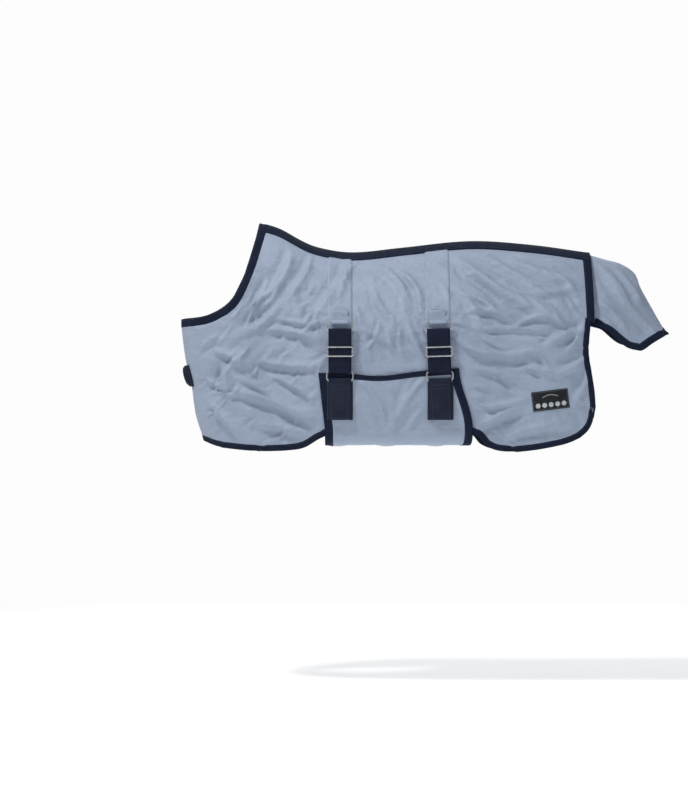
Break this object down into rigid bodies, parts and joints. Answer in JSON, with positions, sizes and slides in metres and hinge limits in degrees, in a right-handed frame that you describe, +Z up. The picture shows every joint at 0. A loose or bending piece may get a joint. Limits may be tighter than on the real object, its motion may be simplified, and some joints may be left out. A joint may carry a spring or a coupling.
{
  "type": "foal fly sheet",
  "caption": "Mesh fly sheet for a foal with bound edges, chest flaps that close in front, a belly flap held by two adjustable straps and a tail flap.",
  "frame": {"origin": "on the withers, at the front end of the spine band's middle line", "axes": "+X along the back towards the tail, -Y towards the near (left) side, +Z up"},
  "size_m": [1.1501, 0.3239, 0.5352],
  "materials": {
    "mesh_cloth": "blue-grey fly mesh",
    "navy_binding": "dark navy bias binding",
    "navy_webbing": "ribbed navy webbing",
    "hook_tape": "matt hook tape in a stitched border",
    "loop_tape": "fuzzy loop tape",
    "silver_wire": "nickel-plated wire",
    "label": "woven label"
  },
  "bodies": {
    "rug": {"near_side": "mesh_cloth", "off_side": "mesh_cloth", "near_neck_binding": "navy_binding", "off_neck_binding": "navy_binding", "near_hem_binding": "navy_binding", "off_hem_binding": "navy_binding", "near_rear_binding": "navy_binding", "off_rear_binding": "navy_binding", "near_tail_seam_band": "navy_binding", "off_tail_seam_band": "navy_binding", "spine_band": "navy_binding", "front_reinforcement_strip": "mesh_cloth", "rear_reinforcement_strip": "mesh_cloth", "front_strap_anchor": "mesh_cloth", "rear_strap_anchor": "mesh_cloth", "label": "label"},
    "near_chest": {"near_chest_flap": "mesh_cloth", "near_chest_edge_binding": "navy_binding", "near_chest_neck_binding": "navy_binding", "near_chest_hem_binding": "navy_binding"},
    "off_chest": {"off_chest_flap": "mesh_cloth", "off_chest_edge_binding": "navy_binding", "off_chest_neck_binding": "navy_binding", "off_chest_hem_binding": "navy_binding", "chest_loop_patch": "loop_tape"},
    "chest_strap": {"chest_strap": "navy_webbing"},
    "belly": {"belly_flap": "mesh_cloth", "belly_flap_front_binding": "navy_binding", "belly_flap_rear_binding": "navy_binding", "belly_flap_top_binding": "navy_binding", "front_loop_patch": "loop_tape", "rear_loop_patch": "loop_tape"},
    "tail": {"tail_flap": "mesh_cloth", "tail_flap_binding": "navy_binding"},
    "front_strap": {"front_top_ring": "silver_wire", "front_strap_webbing": "navy_webbing", "front_lower_ring": "silver_wire", "front_fastening_tab": "hook_tape"},
    "rear_strap": {"rear_top_ring": "silver_wire", "rear_strap_webbing": "navy_webbing", "rear_lower_ring": "silver_wire", "rear_fastening_tab": "hook_tape"},
    "front_slide": {"front_slide": "silver_wire"},
    "rear_slide": {"rear_slide": "silver_wire"}
  },
  "joints": [
    {"name": "near_chest_open", "type": "hinge", "parent": "rug", "child": "near_chest", "pos_m": [-0.05, -0.1185, -0.35], "axis": [0, 0, 1], "range_deg": [0, 80]},
    {"name": "off_chest_open", "type": "hinge", "parent": "rug", "child": "off_chest", "pos_m": [-0.05, 0.1185, -0.35], "axis": [0, 0, 1], "range_deg": [-40, 0]},
    {"name": "chest_strap_peel", "type": "hinge", "parent": "near_chest", "child": "chest_strap", "pos_m": [-0.168, -0.048, -0.356], "axis": [-0.2223, 0, 0.975], "range_deg": [0, 100]},
    {"name": "belly_flap_open", "type": "hinge", "parent": "rug", "child": "belly", "pos_m": [0.3, 0.149, -0.4837], "axis": [1, 0, 0], "range_deg": [0, 65]},
    {"name": "front_strap_swing", "type": "hinge", "parent": "rug", "child": "front_strap", "pos_m": [0.1735, -0.16295, -0.233], "axis": [1, 0, 0], "range_deg": [-85, 0]},
    {"name": "rear_strap_swing", "type": "hinge", "parent": "rug", "child": "rear_strap", "pos_m": [0.401, -0.16295, -0.233], "axis": [0.9995, 0, 0.0314], "range_deg": [-85, 0]},
    {"name": "front_slide_adjust", "type": "slide", "parent": "front_strap", "child": "front_slide", "axis": [0, 0, 1], "range_m": [-0.015, 0.015]},
    {"name": "rear_slide_adjust", "type": "slide", "parent": "rear_strap", "child": "rear_slide", "axis": [-0.0314, 0, 0.9995], "range_m": [-0.015, 0.015]},
    {"name": "tail_flap_lift", "type": "hinge", "parent": "rug", "child": "tail", "pos_m": [0.7662, 0, -0.0681], "axis": [0, 1, 0], "range_deg": [-60, 35]}
  ],
  "couplings": [
    {"joint": "off_chest_open", "follows": "near_chest_open", "ratio": -0.5},
    {"joint": "front_strap_swing", "follows": "belly_flap_open", "ratio": -1.3},
    {"joint": "rear_strap_swing", "follows": "belly_flap_open", "ratio": -1.3}
  ]
}
